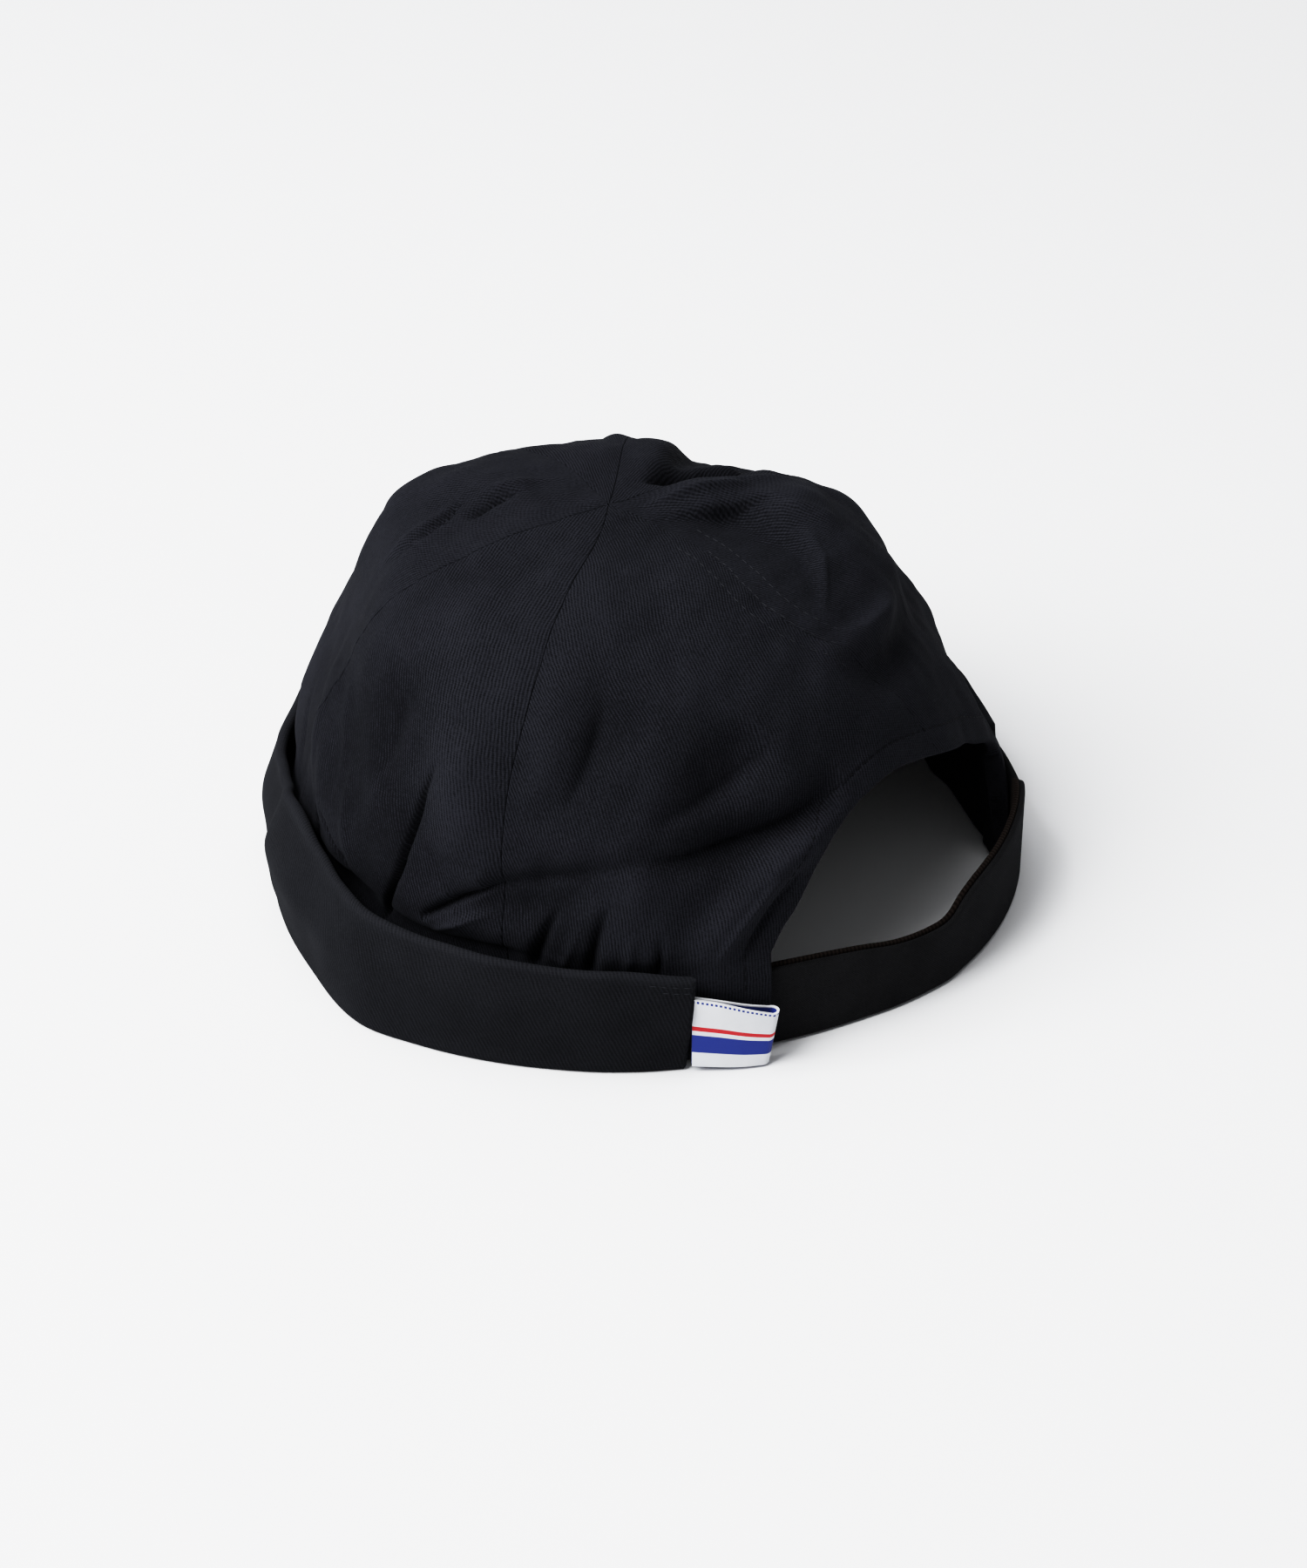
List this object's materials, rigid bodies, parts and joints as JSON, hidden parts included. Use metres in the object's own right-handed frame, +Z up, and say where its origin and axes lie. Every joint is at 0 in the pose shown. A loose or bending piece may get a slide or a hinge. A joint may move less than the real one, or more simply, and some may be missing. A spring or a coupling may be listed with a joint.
{
  "type": "brimless roll-up fisherman cap",
  "caption": "Brimless cloth cap of six panels with a turned-up cuff, an arched back opening and a strap below it.",
  "frame": {"origin": "middle of the cap's box, on the surface that it rests on", "axes": "+Z up from the surface, front towards -Y, back opening towards +Y, wearer's left towards +X"},
  "size_m": [0.202, 0.198, 0.1036],
  "materials": {
    "black_twill": "matte cotton twill",
    "black_webbing": "matte cloth strap",
    "binding": "ribbed binding",
    "woven_label": "satin woven tape"
  },
  "bodies": {
    "root": {"crown_panel_back_left": "black_twill", "crown_panel_back_right": "black_twill", "crown_panel_right": "black_twill", "crown_panel_front_right": "black_twill", "crown_panel_front_left": "black_twill", "crown_panel_left": "black_twill", "cuff": "black_twill", "strap_outer": "black_webbing", "strap_inner": "binding", "label": "woven_label"}
  },
  "joints": []
}
